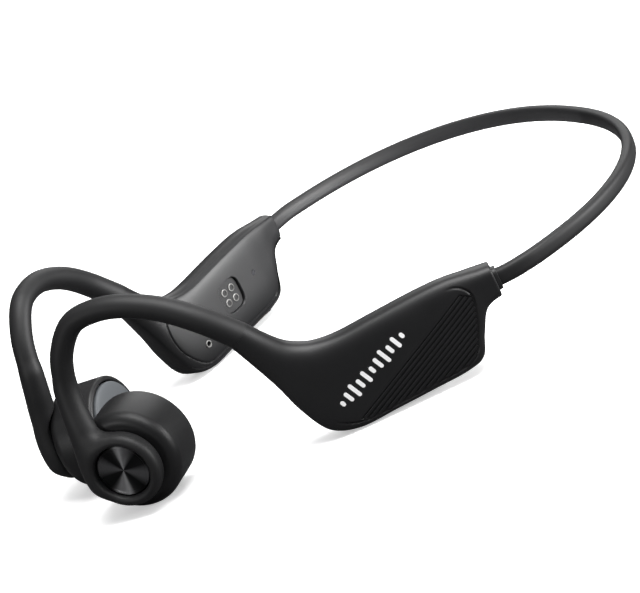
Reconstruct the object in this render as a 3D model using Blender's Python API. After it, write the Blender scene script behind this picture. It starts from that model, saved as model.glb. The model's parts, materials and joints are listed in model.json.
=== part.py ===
"""Bone conduction headphones: two pods, two ear hooks, two housings and one spring neckband.

Frame: +Z is up and z = 0 is the table that the set rests on. The wearer faces -Y, and +X is the
wearer's left. The origin is the middle of the set's footprint.
All sizes below are millimetres; solid() scales them to metres. The left side is designed, and the
right side is its mirror image (side = -1).
"""

import math

import bmesh
import bpy
from mathutils import Matrix, Vector

MM = 0.001
GAP = 0.3                      # clearance between pieces that touch on the real set

# Pods: each one is a short drum whose axis turns outward and forward from the cheek
POD_RADIUS = 11.0
POD_AXIS_HEIGHT = POD_RADIUS
POD_RIM_X = 7.88               # centre of the skin-side rim, from the middle plane
POD_RIM_Y = -54.38
POD_YAW = math.radians(45.0)
POD_DEPTH = 11.5               # rim to the end wall's outer face
POD_BORE = 9.9
POD_WALL = 1.6                 # end wall, with its shallow step
# Outside of the pod shell as (radius, distance from the rim): rim, wall and rounded shoulder
POD_OUTSIDE = ((10.3, 0.0), (10.8, 0.25), (POD_RADIUS, 0.9), (POD_RADIUS, 9.1), (10.7, 10.3),
               (9.8, 11.2), (8.6, POD_DEPTH))
BOSS_RADIUS = 8.0              # round end of the ear hook on the pod's outer end
BOSS_BACK, BOSS_CREST = POD_DEPTH + GAP, 15.5
BUTTON_BACK = 13.7             # underside of the button's cap
BUTTON_RADIUS = 5.6
BUTTON_TRAVEL = 0.35

# Housings: flat upright pods behind the ears, splayed in plan
HOUSING_FRONT = (35.9, -32.1)
HOUSING_SPLAY = math.radians(24.0)
HOUSING_BASE = 0.2             # lowest point of the belly above the table
COVER_MARGIN = 1.4             # wall round the cover, seen from the side
COVER_FRONT_BULGE = 2.8        # rise of the arc at the cover's front end
LEDGE_WIDTH, SEAL_WIDTH = 1.2, 0.7
COVER_PLANE = -2.6             # inner cover's underside, from the housing's middle plane
LEDGE_PLANE = -1.5             # ledge that carries the cover's seal
CAVITY_PLANE = 2.4             # floor of the cavity under the outer wall
BAND_HEIGHT_AT_COLLAR = 16.4
BAND_HEIGHT_AT_BACK = 18.4
COLLAR_AT, COLLAR_LENGTH = 48.0, 0.8

# What shows on the right housing: charge port on the inner cover, volume keys in the bottom edge
PORT_A, PORT_Z = 24.4, 11.3    # centre of the port
PORT_WIDE, PORT_TALL = 7.0, 7.3
PIN_PITCH, PIN_RADIUS = 2.65, 0.95
VOLUME_PLACES = (25, 33)       # middles of the keys along the housing
KEY_LOWS = (0.55, 0.75)        # undersides of the keys, which follow the housing's edge
KEY_LENGTH, KEY_WIDTH = 5.6, 2.2
KEY_TOP, KEY_TRAVEL = 3.5, 0.3

# Neckband: half of a soft-cornered oval, seen from above
BAND_HALF_WIDTH = 57.7
BAND_SHOULDER_Y = 20.4         # widest place
BAND_BACK_Y = 69.5
BAND_SQUARENESS = 2.2
BAND_HALF_TALL, BAND_HALF_THICK = 1.82, 1.35
FLEX_X, FLEX_Y = 26.0, 64.9    # where each half of the spring band bends

STEEL = ((0.55, 0.56, 0.58), 0.30, 1.0)
MATTE_BLACK = ((0.018, 0.018, 0.020), 0.45, 0.0)
SOFT_BLACK = ((0.022, 0.022, 0.024), 0.60, 0.0)
PAD_GREY = ((0.26, 0.29, 0.31), 0.55, 0.0)
COPPER = ((0.70, 0.30, 0.12), 0.35, 1.0)
GOLD = ((0.85, 0.62, 0.25), 0.25, 1.0)
BOARD_GREEN = ((0.02, 0.16, 0.07), 0.50, 0.0)
DARK_METAL = ((0.06, 0.06, 0.065), 0.25, 1.0)
CELL_SILVER = ((0.45, 0.46, 0.48), 0.35, 0.6)
LIGHT_GUIDE = ((0.75, 0.78, 0.80), 0.15, 0.0)


# ---------------------------------------------------------------- general helpers

def clear_scene():
    for obj in list(bpy.data.objects):
        bpy.data.objects.remove(obj, do_unlink=True)


def material(name, look):
    found = bpy.data.materials.get(name)
    if found:
        return found
    colour, roughness, metallic = look
    made = bpy.data.materials.new(name)
    made.use_nodes = True
    shader = made.node_tree.nodes["Principled BSDF"]
    shader.inputs["Base Color"].default_value = (*colour, 1.0)
    shader.inputs["Roughness"].default_value = roughness
    shader.inputs["Metallic"].default_value = metallic
    return made


def solid(name, points, faces, mat, parent=None, smooth=True):
    """Make one object from points in millimetres, with its faces turned outward."""
    mesh = bpy.data.meshes.new(name)
    mesh.from_pydata([Vector(p) * MM for p in points], [], faces)
    work = bmesh.new()
    work.from_mesh(mesh)
    bmesh.ops.recalc_face_normals(work, faces=work.faces)
    work.to_mesh(mesh)
    work.free()
    if smooth:
        mesh.shade_smooth()
        mesh.set_sharp_from_angle(angle=math.radians(35))
    if mat:
        mesh.materials.append(mat)
    obj = bpy.data.objects.new(name, mesh)
    bpy.context.collection.objects.link(obj)
    obj.parent = parent
    return obj


def cutter(name, points, faces, parent=None):
    obj = solid(name, points, faces, None, parent, smooth=False)
    obj.hide_render = True
    obj.display_type = 'WIRE'
    return obj


def boolean(obj, tool, operation='DIFFERENCE'):
    mod = obj.modifiers.new(operation.lower() + "_" + tool.name, 'BOOLEAN')
    mod.operation = operation
    mod.object = tool
    mod.solver = 'EXACT'


def empty(name, place, turn=(0.0, 0.0, 0.0), parent=None):
    obj = bpy.data.objects.new(name, None)
    bpy.context.collection.objects.link(obj)
    obj.parent = parent
    obj.location = Vector(place) * MM
    obj.rotation_euler = turn
    return obj


def loft(rings):
    """Join closed rings of equal count; the two end rings are capped."""
    count = len(rings[0])
    points = [p for ring in rings for p in ring]
    faces = []
    for i in range(len(rings) - 1):
        for j in range(count):
            k = (j + 1) % count
            faces.append((i * count + j, i * count + k, (i + 1) * count + k, (i + 1) * count + j))
    faces.append(tuple(range(count)))
    last = (len(rings) - 1) * count
    faces.append(tuple(last + j for j in range(count)))
    return points, faces


def sleeve(outer, inner):
    """A loft with a through bore: outer and inner rings of equal count, joined at both ends."""
    return torus(outer + inner[::-1])


def torus(rings):
    """A closed chain of rings: the last ring joins the first."""
    count, total = len(rings[0]), len(rings)
    points = [p for ring in rings for p in ring]
    faces = []
    for i in range(total):
        n = (i + 1) % total
        for j in range(count):
            k = (j + 1) % count
            faces.append((i * count + j, i * count + k, n * count + k, n * count + j))
    return points, faces


def turned(profile, segments=28):
    """Turn a closed (radius, height) outline about Z; an outline that starts and ends on the
    axis makes a disc, any other outline makes a ring."""
    rings = [[(r * math.cos(a), r * math.sin(a), z)
              for a in (2 * math.pi * j / segments for j in range(segments))]
             for r, z in profile if r > 0]
    if profile[0][0] > 0:
        return torus(rings)
    return loft(rings)


def block(size, centre=(0.0, 0.0, 0.0)):
    half = [s / 2 for s in size]
    signs = ((-1, -1), (1, -1), (1, 1), (-1, 1))
    rings = [[(centre[0] + sx * half[0], centre[1] + sy * half[1], centre[2] + sz * half[2])
              for sx, sy in signs] for sz in (-1, 1)]
    return loft(rings)


def superellipse(half_a, half_b, power, count):
    """Points of a rounded box outline, spread by angle."""
    points = []
    for j in range(count):
        angle = 2 * math.pi * j / count
        c, s = math.cos(angle), math.sin(angle)
        points.append((half_a * math.copysign(abs(c) ** (2 / power), c),
                       half_b * math.copysign(abs(s) ** (2 / power), s)))
    return points


def catmull_rom(points, steps):
    """Smooth curve through points (tuples of any length), with steps spans between each pair."""
    ends = [points[0]] + list(points) + [points[-1]]
    curve = []
    for i in range(1, len(ends) - 2):
        p0, p1, p2, p3 = ends[i - 1:i + 3]
        for k in range(steps):
            t = k / steps
            curve.append(tuple(
                0.5 * (2 * b + (c - a) * t + (2 * a - 5 * b + 4 * c - d) * t ** 2
                       + (3 * b - a - 3 * c + d) * t ** 3)
                for a, b, c, d in zip(p0, p1, p2, p3)))
    curve.append(tuple(points[-1]))
    return curve


def frames_along(path, first_side):
    """Side and up vectors at each point of a path, carried along it without twist."""
    side = Vector(first_side)
    frames = []
    for i, point in enumerate(path):
        before, after = path[max(i - 1, 0)], path[min(i + 1, len(path) - 1)]
        tangent = (Vector(after) - Vector(before)).normalized()
        side = (side - tangent * side.dot(tangent)).normalized()
        frames.append((Vector(point), side.copy(), tangent.cross(side)))
    return frames


def tube(frames, section, shift=(0.0, 0.0)):
    """Rings of a section swept along frames. section is a function of the station 0..1."""
    rings = []
    for i, (point, side, up) in enumerate(frames):
        outline = section(i / (len(frames) - 1))
        rings.append([point + side * (a + shift[0]) + up * (b + shift[1]) for a, b in outline])
    return rings


def round_section(radius, count):
    return lambda _: superellipse(radius, radius, 2.0, count)


def mirror_solid(shape, side):
    """The same points and faces on the other side of the middle plane when side is -1."""
    points, faces = shape
    return [(side * p[0], p[1], p[2]) for p in points], faces


# ---------------------------------------------------------------- shared shapes

def plate(a, w, z):
    """World point of a housing: a along it from the hook, w outward from its middle plane."""
    s, c = math.sin(HOUSING_SPLAY), math.cos(HOUSING_SPLAY)
    return Vector((HOUSING_FRONT[0] + s * a + c * w, HOUSING_FRONT[1] + c * a - s * w, z))


# Housing sections: top (a, z), bottom (a, z), half thickness, squareness
HOUSING_STATIONS = (
    (-0.6, 29.4, -5.5, 26.4, 2.9, 2.0),
    (2.0, 25.9, -3.2, 21.1, 3.1, 2.1),
    (4.8, 22.8, -0.7, 15.1, 3.4, 2.4),
    (8.2, 20.9, 1.6, 8.4, 3.7, 3.0),
    (11.5, 20.1, 5.1, 2.4, 3.9, 3.6),
    (15.5, 19.9, 11.0, HOUSING_BASE, 4.0, 4.2),
    (21.5, 20.3, 19.5, 0.6, 4.0, 4.4),
    (28.5, 20.8, 28.0, 1.1, 4.0, 4.4),
    (35.0, 21.1, 35.3, 1.6, 3.9, 4.4),
    (39.0, 21.0, 39.4, 3.0, 3.7, 4.2),
    (42.2, 20.6, 41.6, 7.4, 3.5, 4.0),
    (45.0, 20.2, 44.2, 11.9, 3.2, 3.8),
    (47.8, 19.9, 47.8, 13.1, 2.9, 3.6),
)


def housing_sections(steps):
    return [(Vector((ta, tz)), Vector((ba, bz)), half, power)
            for ta, tz, ba, bz, half, power in catmull_rom(HOUSING_STATIONS, steps)]


def housing_rings(steps, count):
    rings = []
    for top, bottom, half, power in housing_sections(steps):
        middle, reach = (top + bottom) / 2, (top - bottom) / 2
        rings.append([plate(middle.x + reach.x * v, u, middle.y + reach.y * v)
                      for u, v in superellipse(half, 1.0, power, count)])
    return rings


def cover_opening():
    """Side-view outline of the opening that the inner cover closes, counterclockwise."""
    tops, bottoms = [], []
    for top, bottom, _, _ in housing_sections(2):
        across = (top - bottom).normalized() * COVER_MARGIN
        if 6.5 <= top.x <= 44.5:
            tops.append(top - across)
        if 7.5 <= bottom.x <= 43.5:
            bottoms.append(bottom + across)
    front = []
    for t in (0.2, 0.4, 0.6, 0.8):
        bulge = Vector((-COVER_FRONT_BULGE * 4 * t * (1 - t), 0.0))
        front.append(tops[0] * (1 - t) + bottoms[0] * t + bulge)
    return bottoms + tops[::-1] + front


def shrink(outline, amount):
    """Move each corner of a counterclockwise outline inward, square to both of its edges."""
    moved = []
    for before, corner, after in zip(outline[-1:] + outline[:-1], outline, outline[1:] + outline[:1]):
        into, out = (corner - before).normalized(), (after - corner).normalized()
        inward = (Vector((-into.y, into.x)) + Vector((-out.y, out.x))).normalized()
        moved.append(corner + inward * amount / max(0.5, inward.dot(Vector((-into.y, into.x)))))
    return moved


def prism(outline, low, high):
    """Side-view outline (a, z) given thickness from w = low to w = high."""
    return loft([[plate(p[0], w, p[1]) for p in outline] for w in (low, high)])


def pod_point(e, z, q):
    """World point of the left pod: e toward the back, z up, q outward from the skin-side rim."""
    s, c = math.sin(POD_YAW), math.cos(POD_YAW)
    return (POD_RIM_X + s * e + c * q, POD_RIM_Y + c * e - s * q, POD_AXIS_HEIGHT + z)


# The ear hook's centre line: round the boss's front, up past the pod, and over the ear
HOOK_PATH = (
    pod_point(-6.7, -1.5, 13.5),
    pod_point(-6.6, 4.8, 13.2),
    pod_point(-6.2, 10.6, 11.9),
    pod_point(-6.1, 15.2, 10.7),
    (11.2, -65.2, 31.2),
    (12.6, -63.3, 37.2),
    (15.4, -59.8, 42.2),
    (19.0, -55.9, 43.6),
    (23.4, -51.0, 42.8),
    (28.2, -45.2, 39.4),
    (32.6, -39.9, 34.2),
)
HOOK_STEPS = 2
SEAM_GAP = 0.7                 # between the middles of the hook's end and the housing's end
BOSS_STATIONS = 4              # stations of the hook that lie beside the boss


def hook_frames():
    """Centre line of the ear hook, from inside the boss, over the ear, to the housing."""
    top, bottom = (Vector(HOUSING_STATIONS[0][i:i + 2]) for i in (0, 2))
    along = Vector((bottom.y - top.y, top.x - bottom.x)).normalized()
    end = (top + bottom) / 2 + along * SEAM_GAP * math.copysign(1.0, -along.x)
    return frames_along(catmull_rom(HOOK_PATH + (tuple(plate(end.x, 0.0, end.y)),), HOOK_STEPS),
                        (0.9, -0.4, 0.0))


def hook_section(t):
    return superellipse(hook_radius(t), hook_radius(t), 2.0, 12)


def hook_bore_section(t):
    """Narrow where it leaves the boss, then wide enough for the wire and the cable."""
    radius = min(1.35, 0.9 + 6 * t)
    return superellipse(radius, radius, 2.0, 8)


def hook_radius(t):
    """Slim at the pod, a little fuller over the ear, full where it meets the housing."""
    root, flare = max(0.0, (0.12 - t) / 0.12), max(0.0, (t - 0.55) / 0.45)
    return 2.4 - 0.6 * root + 0.6 * flare ** 1.5


def band_path(first, count=13):
    """Centre line of the neckband's left half, from inside the housing to the middle of the back."""
    z = BAND_HEIGHT_AT_COLLAR
    straight = [plate(a, 0.0, z) for a in (first, 46.5, 49.2)]
    heading = plate(1, 0, 0) - plate(0, 0, 0)
    start, shoulder = straight[-1], Vector((BAND_HALF_WIDTH, BAND_SHOULDER_Y, z + 0.3))
    reach = (shoulder - start).length / 3
    a, b = start + heading * reach, shoulder - Vector((0, 1, 0)) * reach
    for t in (0.33, 0.67):
        straight.append(start * (1 - t) ** 3 + a * 3 * t * (1 - t) ** 2
                        + b * 3 * t * t * (1 - t) + shoulder * t ** 3)
    deep = BAND_BACK_Y - BAND_SHOULDER_Y
    for i in range(count + 1):
        angle = math.pi / 2 * i / count
        x = BAND_HALF_WIDTH * max(math.cos(angle), 0.0) ** (2 / BAND_SQUARENESS)
        y = BAND_SHOULDER_Y + deep * math.sin(angle) ** (2 / BAND_SQUARENESS)
        rise = (y - BAND_SHOULDER_Y) / deep
        straight.append(Vector((x, y, z + 0.3 + (BAND_HEIGHT_AT_BACK - z - 0.3) * rise)))
    return straight


def full_band_frames(first):
    half = band_path(first)
    return frames_along(half + [Vector((-p.x, p.y, p.z)) for p in half[-2::-1]], (0.9, -0.4, 0.0))


# ---------------------------------------------------------------- the neckband

def build_neckband(parent):
    soft, steel = material("soft_black", SOFT_BLACK), material("titanium", STEEL)
    frames = full_band_frames(46.6)
    outer = tube(frames, lambda _: superellipse(BAND_HALF_THICK, BAND_HALF_TALL, 3.0, 10))
    bore = tube(frames, lambda _: superellipse(0.75, 1.15, 2.4, 10))
    solid("band_skin", *sleeve(outer, bore), soft, parent)
    inner = full_band_frames(42.8)
    solid("band_wire", *loft(tube(inner, round_section(0.36, 6), (0.0, 0.55))), steel, parent)
    solid("band_cable", *loft(tube(inner, round_section(0.30, 6), (0.0, -0.60))),
          material("cable_jacket", MATTE_BLACK), parent)


# ---------------------------------------------------------------- one side: hook and housing

def build_hook(name, side, parent, pod):
    """Silicone hook with its round boss, and the spring wire and signal cable in its bore."""
    frames = hook_frames()
    skin = solid("ear_hook_skin_" + name, *mirror_solid(loft(tube(frames, hook_section)), side),
                 material("soft_black", SOFT_BLACK), parent)
    boss = [(0.0, BOSS_BACK), (BOSS_RADIUS - 0.4, BOSS_BACK), (BOSS_RADIUS, BOSS_BACK + 0.6),
            (BOSS_RADIUS, BOSS_CREST - 1.6), (BOSS_RADIUS - 0.4, BOSS_CREST - 0.6),
            (7.0, BOSS_CREST), (6.3, BOSS_CREST), (0.0, BOSS_CREST)]
    ledge = BUTTON_BACK - BUTTON_TRAVEL - 0.2
    well = [(0.0, BOSS_BACK - 1.0), (5.0, BOSS_BACK - 1.0), (5.0, ledge),
            (BUTTON_RADIUS + GAP, ledge), (BUTTON_RADIUS + GAP, BOSS_CREST + 3.0),
            (0.0, BOSS_CREST + 3.0)]
    room = [(0.0, -1.0)] + [(r + GAP, z + (GAP if z > POD_DEPTH / 2 else 0.0)) for r, z in POD_OUTSIDE]
    room.append((0.0, BOSS_BACK - 0.02))
    boolean(skin, cutter("pod_room_" + name, *turned(room, 36), pod))
    boolean(skin, cutter("boss_form_" + name, *turned(boss), pod), 'UNION')
    boolean(skin, cutter("boss_well_" + name, *turned(well), pod))
    start = [pod_point(-4.4, 1.2, 12.9), pod_point(-6.2, 4.6, 13.3)]
    past_end = frames[-1][0] * 1.5 - frames[-2][0] * 0.5
    bore = frames_along(start + [f[0] for f in frames[BOSS_STATIONS:]] + [past_end], (0.9, -0.4, 0.0))
    boolean(skin, cutter("hook_bore_" + name,
                         *mirror_solid(loft(tube(bore, hook_bore_section)), side), parent))
    inside = frames_along([f[0] for f in frames[BOSS_STATIONS + 1:]]
                          + [f[0] for f in housing_lead()], (0.9, -0.4, 0.0))
    solid("hook_wire_" + name, *mirror_solid(
        loft(tube(inside, round_section(0.5, 6), (0.0, 0.6))), side),
        material("titanium", STEEL), parent)
    solid("hook_cable_" + name, *mirror_solid(
        loft(tube(inside, round_section(0.4, 6), (0.0, -0.68))), side),
        material("cable_jacket", MATTE_BLACK), parent)


def housing_lead():
    """Carries the wire and the cable from the hook's end down into the housing's cavity."""
    points = [plate(a, 0.0, z) for a, z in ((-1.6, 25.6), (1.0, 21.4), (4.6, 16.6), (8.2, 12.8))]
    return frames_along(points, (0.9, -0.4, 0.0))


def build_housing(name, side, parent):
    shell_mat = material("housing_plastic", MATTE_BLACK)
    shell = solid("housing_shell_" + name, *mirror_solid(loft(housing_rings(1, 24)), side),
                  shell_mat, parent)
    pocket = cover_opening()
    well = shrink(pocket, LEDGE_WIDTH)
    lead = frames_along([plate(-4.8, 0.0, 30.8)] + [f[0] for f in housing_lead()], (0.9, -0.4, 0.0))
    tools = (("cover_pocket_", prism(pocket, -9.0, LEDGE_PLANE)),
             ("cavity_", prism(well, -9.0, CAVITY_PLANE)),
             ("hook_entry_", loft(tube(lead, round_section(1.7, 12)))),
             ("band_entry_", loft([[plate(a, u, BAND_HEIGHT_AT_COLLAR + v)
                                    for u, v in superellipse(1.7, 2.15, 3.0, 12)]
                                   for a in (40.0, 49.0)])))
    for label, shape in tools:
        boolean(shell, cutter(label + name, *mirror_solid(shape, side), parent))
    if name == "right":
        for place in VOLUME_PLACES:
            slot = key_prism(place, -1.0, KEY_TOP + KEY_TRAVEL + 0.1, GAP)
            boolean(shell, cutter("key_slot_%d" % place, *mirror_solid(slot, side), parent))
    cover = solid("inner_cover_" + name, *mirror_solid(loft(housing_rings(1, 24)), side),
                  shell_mat, parent)
    boolean(cover, cutter("cover_form_" + name, *mirror_solid(
        prism(shrink(pocket, GAP), -9.0, COVER_PLANE), side), parent), 'INTERSECT')
    build_cover_seal(name, side, parent)
    build_collar(name, side, parent)
    return cover


def build_cover_seal(name, side, parent):
    """A thin rubber frame squeezed between the cover and the housing's ledge."""
    outer = shrink(cover_opening(), GAP)
    inner = shrink(outer, SEAL_WIDTH)
    rings = [[plate(p.x, w, p.y) for p in outline] for outline, w in (
        (outer, LEDGE_PLANE - GAP), (outer, COVER_PLANE + GAP),
        (inner, COVER_PLANE + GAP), (inner, LEDGE_PLANE - GAP))]
    solid("cover_seal_" + name, *mirror_solid(torus(rings), side),
          material("seal_rubber", SOFT_BLACK), parent)


def build_collar(name, side, parent):
    """Strain relief that grips the neckband where it leaves the housing."""
    rings = []
    for a, half_w, half_z in ((COLLAR_AT, 2.05, 2.5), (COLLAR_AT + COLLAR_LENGTH, 1.95, 2.4),
                              (COLLAR_AT + COLLAR_LENGTH, 1.6, 2.06), (COLLAR_AT, 1.6, 2.06)):
        rings.append([plate(a, u, BAND_HEIGHT_AT_COLLAR + v)
                      for u, v in superellipse(half_w, half_z, 3.0, 16)])
    solid("band_collar_" + name, *mirror_solid(torus(rings), side),
          material("housing_plastic", MATTE_BLACK), parent)


# ---------------------------------------------------------------- one pod

def build_pod(name, pod):
    """Pod pieces, turned about the pod's axis; z = 0 is the skin-side rim."""
    inside = POD_DEPTH - POD_WALL
    shell = [(POD_BORE, 0.35)] + list(POD_OUTSIDE) + [
        (8.6, POD_DEPTH - 0.6), (3.2, POD_DEPTH - 0.6), (3.2, inside), (POD_BORE, inside)]
    solid("pod_shell_" + name, *turned(shell, 36), material("housing_plastic", MATTE_BLACK), pod)
    moving = empty("transducer_frame_" + name, (0, 0, 0), parent=pod)
    pieces = (
        ("skin_pad_", "pad_silicone", PAD_GREY, moving,
         [(0.0, -0.9), (7.6, -0.9), (8.8, -0.65), (9.4, -0.1), (9.5, 0.6), (0.0, 0.6)]),
        ("vibration_plate_", "spring_steel", STEEL, moving,
         [(0.0, 1.0), (8.2, 1.0), (8.2, 1.7), (0.0, 1.7)]),
        ("suspension_spring_", "spring_steel", STEEL, moving,
         [(2.4, 2.1), (9.3, 2.1), (9.3, 2.4), (2.4, 2.4)]),
        ("voice_coil_", "copper_wire", COPPER, moving,
         [(5.3, 2.8), (6.0, 2.8), (6.0, 6.8), (5.3, 6.8)]),
        ("pole_plate_", "spring_steel", STEEL, pod,
         [(0.0, 3.2), (4.8, 3.2), (4.8, 4.0), (0.0, 4.0)]),
        ("magnet_", "magnet_nickel", CELL_SILVER, pod,
         [(0.0, 4.3), (4.6, 4.3), (4.6, 7.4), (0.0, 7.4)]),
        ("magnet_yoke_", "spring_steel", STEEL, pod,
         [(0.0, 7.7), (6.6, 7.7), (6.6, 3.8), (7.7, 3.8), (7.7, 9.4), (0.0, 9.4)]),
    )
    for label, mat, look, parent, profile in pieces:
        solid(label + name, *turned(profile, 20), material(mat, look), parent)


def button_cap(stem):
    """Dished round cap; stem adds the nub that presses the switch."""
    face = BUTTON_BACK + 0.8
    nub = [(0.0, BUTTON_BACK - 0.25), (1.2, BUTTON_BACK - 0.25), (1.2, BUTTON_BACK)]
    return (nub if stem else [(0.0, BUTTON_BACK)]) + [
        (BUTTON_RADIUS, BUTTON_BACK), (BUTTON_RADIUS, face), (BUTTON_RADIUS - 0.3, face + 0.3),
        (0.0, face + 0.1)]


def build_button(pod):
    """The left pod's multi-function button, the switch under it and the switch's board."""
    pivot = empty("multi_function_button_frame", (0, 0, 0), parent=pod)
    metal = material("spun_metal", DARK_METAL)
    solid("multi_function_button", *turned(button_cap(True), 36), metal, pivot)
    solid("button_switch", *block((3.2, 3.2, 0.4), (0, 0, BUTTON_BACK - 0.9)),
          material("spring_steel", STEEL), pod, smooth=False)
    solid("button_board", *turned([(0.0, BOSS_BACK), (4.5, BOSS_BACK), (4.5, BOSS_BACK + 0.45),
                                   (0.0, BOSS_BACK + 0.45)]), material("board", BOARD_GREEN), pod)


def build_end_cap(pod):
    solid("end_cap_right", *turned(button_cap(False), 36), material("spun_metal", DARK_METAL), pod)


# ---------------------------------------------------------------- what the housings hold

def plate_block(a, z, size_a, size_z, w_low, w_high):
    outline = [Vector((a + i * size_a / 2, z + j * size_z / 2))
               for i, j in ((-1, -1), (1, -1), (1, 1), (-1, 1))]
    return prism(outline, w_low, w_high)


def plate_disc(a, z, radius, w_low, w_high, count=16):
    outline = [Vector((a + radius * math.cos(t), z + radius * math.sin(t)))
               for t in (2 * math.pi * j / count for j in range(count))]
    return prism(outline, w_low, w_high)


def key_prism(place, low, high, grow):
    """A volume key, or the slot it slides in, which is wider by grow on every side."""
    reach = KEY_LENGTH / 2 + grow
    outline = [Vector((place + i * reach, z)) for i, z in ((-1, low), (1, low), (1, high), (-1, high))]
    return prism(outline, -KEY_WIDTH / 2 - grow, KEY_WIDTH / 2 + grow)


def build_left_electronics(parent):
    side = 1
    solid("battery", *mirror_solid(plate_block(25.5, 11.0, 24.0, 10.4, -1.1, 2.0), side),
          material("cell_wrap", CELL_SILVER), parent, smooth=False)
    solid("protection_board", *mirror_solid(plate_block(11.0, 10.4, 3.0, 7.6, -0.4, 0.4), side),
          material("board", BOARD_GREEN), parent, smooth=False)


def build_right_electronics(parent, cover):
    side = -1
    board = material("board", BOARD_GREEN)
    steel = material("spring_steel", STEEL)
    parts = (
        ("main_board", plate_block(25.0, 11.7, 27.0, 9.0, 1.3, 2.0), board),
        ("radio_module", plate_block(15.4, 12.6, 6.0, 6.4, -0.2, 1.0), steel),
        ("audio_chip", plate_block(34.6, 13.4, 4.6, 4.6, 0.2, 1.0), material("chip", DARK_METAL)),
        ("microphone", plate_disc(11.4, 6.0, 1.5, -1.4, 0.0), steel),
    )
    for label, shape, mat in parts:
        solid(label, *mirror_solid(shape, side), mat, parent, smooth=False)
    build_charge_port(side, parent, cover)
    build_volume_keys(side, parent, steel)
    boolean(cover, cutter("microphone_hole", *mirror_solid(
        plate_disc(11.4, 6.0, 0.5, -9.0, 0.0), side), parent))
    guide_hole = plate_disc(33.5, 12.0, 0.95, -9.0, 0.0)
    boolean(cover, cutter("light_hole", *mirror_solid(guide_hole, side), parent))
    solid("status_light_guide", *mirror_solid(plate_disc(33.5, 12.0, 0.65, -3.9, -0.4), side),
          material("light_guide", LIGHT_GUIDE), parent)


def build_charge_port(side, parent, cover):
    """A round-cornered insert in the inner cover, with four contacts and two magnets."""
    def outline(grow, count=28):
        return [Vector((PORT_A + u, PORT_Z + v)) for u, v in superellipse(
            PORT_WIDE / 2 + grow, PORT_TALL / 2 + grow, 3.6, count)]

    boolean(cover, cutter("port_opening", *mirror_solid(prism(outline(GAP), -9.0, 0.0), side), parent))
    insert = solid("charge_port_insert", *mirror_solid(prism(outline(0.0), -3.2, -1.3), side),
                   material("housing_plastic", MATTE_BLACK), parent)
    gold = material("contact_gold", GOLD)
    for index, (i, j) in enumerate(((-1, 1), (1, 1), (-1, -1), (1, -1)), start=1):
        a, z = PORT_A + i * PIN_PITCH / 2, PORT_Z + j * PIN_PITCH / 2
        boolean(insert, cutter("pin_hole_%d" % index, *mirror_solid(
            plate_disc(a, z, PIN_RADIUS + GAP / 2, -9.0, 0.0), side), parent))
        solid("charge_pin_%d" % index,
              *mirror_solid(plate_disc(a, z, PIN_RADIUS, -3.4, -0.3), side), gold, parent)
    for label, a in (("front", PORT_A - 5.6), ("rear", PORT_A + 5.6)):
        magnet = plate_block(a, PORT_Z, 3.0, 4.0, -1.3, -0.2)
        solid("port_magnet_" + label, *mirror_solid(magnet, side),
              material("magnet_nickel", CELL_SILVER), parent, smooth=False)


def build_volume_keys(side, parent, steel):
    for label, place, low in zip(("volume_down", "volume_up"), VOLUME_PLACES, KEY_LOWS):
        pivot = empty(label + "_button_frame", (0, 0, 0), parent=parent)
        key = key_prism(place, low, KEY_TOP, 0.0)
        solid(label + "_button", *mirror_solid(key, side), material("key_plastic", MATTE_BLACK), pivot)
        switch = plate_block(place, KEY_TOP + 1.4, 3.0, 1.5, -1.0, 1.0)
        solid(label + "_switch", *mirror_solid(switch, side), steel, parent, smooth=False)


# ---------------------------------------------------------------- assembly

def build_side(name, side, flex):
    normal = Vector((side * math.cos(POD_YAW), -math.sin(POD_YAW), 0.0))
    back = Vector((math.sin(POD_YAW), side * math.cos(POD_YAW), 0.0))
    turn = Matrix((back, Vector((0, 0, 1)), normal)).transposed()
    if turn.determinant() < 0:
        turn = Matrix((-back, Vector((0, 0, 1)), normal)).transposed()
    pod = empty("pod_frame_" + name, Vector((side * POD_RIM_X, POD_RIM_Y, POD_AXIS_HEIGHT))
                - flex.location / MM, turn.to_euler(), flex)
    world = empty("side_frame_" + name, -flex.location / MM, parent=flex)
    build_hook(name, side, world, pod)
    cover = build_housing(name, side, world)
    build_pod(name, pod)
    if name == "left":
        build_button(pod)
        build_left_electronics(world)
    else:
        build_end_cap(pod)
        build_right_electronics(world, cover)


def build():
    clear_scene()
    root = empty("headphones", (0, 0, 0))
    build_neckband(root)
    for name, side in (("left", 1), ("right", -1)):
        flex = empty("flex_" + name, (side * FLEX_X, FLEX_Y, 0.0), parent=root)
        build_side(name, side, flex)
    bpy.context.view_layer.update()


build()
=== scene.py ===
import json
import math

import bmesh
import bpy
import numpy as np
from mathutils import Matrix, Vector
from mathutils.bvhtree import BVHTree


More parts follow.
